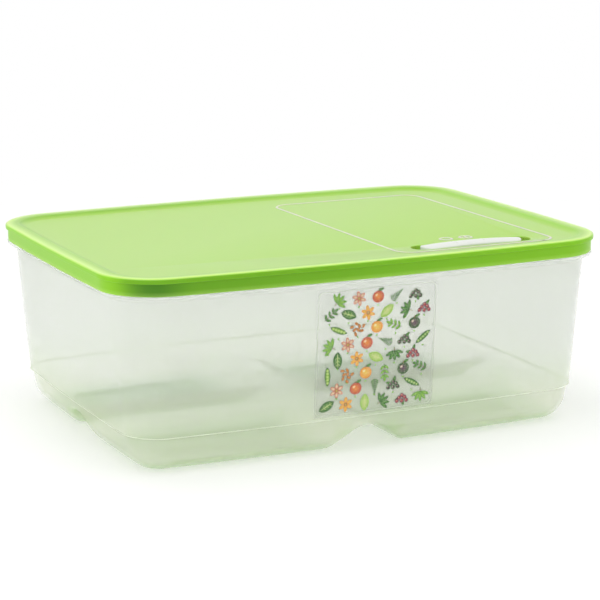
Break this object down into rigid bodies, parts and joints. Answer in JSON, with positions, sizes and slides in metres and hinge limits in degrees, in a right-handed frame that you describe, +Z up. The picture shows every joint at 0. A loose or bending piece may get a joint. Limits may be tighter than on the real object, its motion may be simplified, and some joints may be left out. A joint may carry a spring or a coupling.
{
  "type": "lidded produce storage bin",
  "caption": "Low rectangular fridge bin for vegetables, with drafted translucent walls, cross channels under its floor, a press-on lid with a sunk panel and a sliding air vent.",
  "frame": {"origin": "middle of the base, on the table, under the middle of the bin", "axes": "+X along the long side, to the right seen from the printed front; -Y is the printed front; +Z up"},
  "size_m": [0.38, 0.285, 0.138],
  "materials": {
    "frosted_bin": "frosted, slightly translucent natural polypropylene",
    "printed_film": "thin clear film, printed in many small colours",
    "green_lid": "satin, slightly translucent green polypropylene",
    "white_slider": "glossy white"
  },
  "bodies": {
    "bin_body": {"bin": "frosted_bin", "front_print": "printed_film"},
    "lid_body": {"lid": "green_lid"},
    "vent_body": {"vent_slider": "white_slider"}
  },
  "joints": [
    {"name": "lid_lift", "type": "slide", "parent": "bin_body", "child": "lid_body", "axis": [0, 0, 1], "range_m": [0, 0.15]},
    {"name": "vent_slide", "type": "slide", "parent": "lid_body", "child": "vent_body", "axis": [1, 0, 0], "range_m": [-0.007, 0.007]}
  ]
}
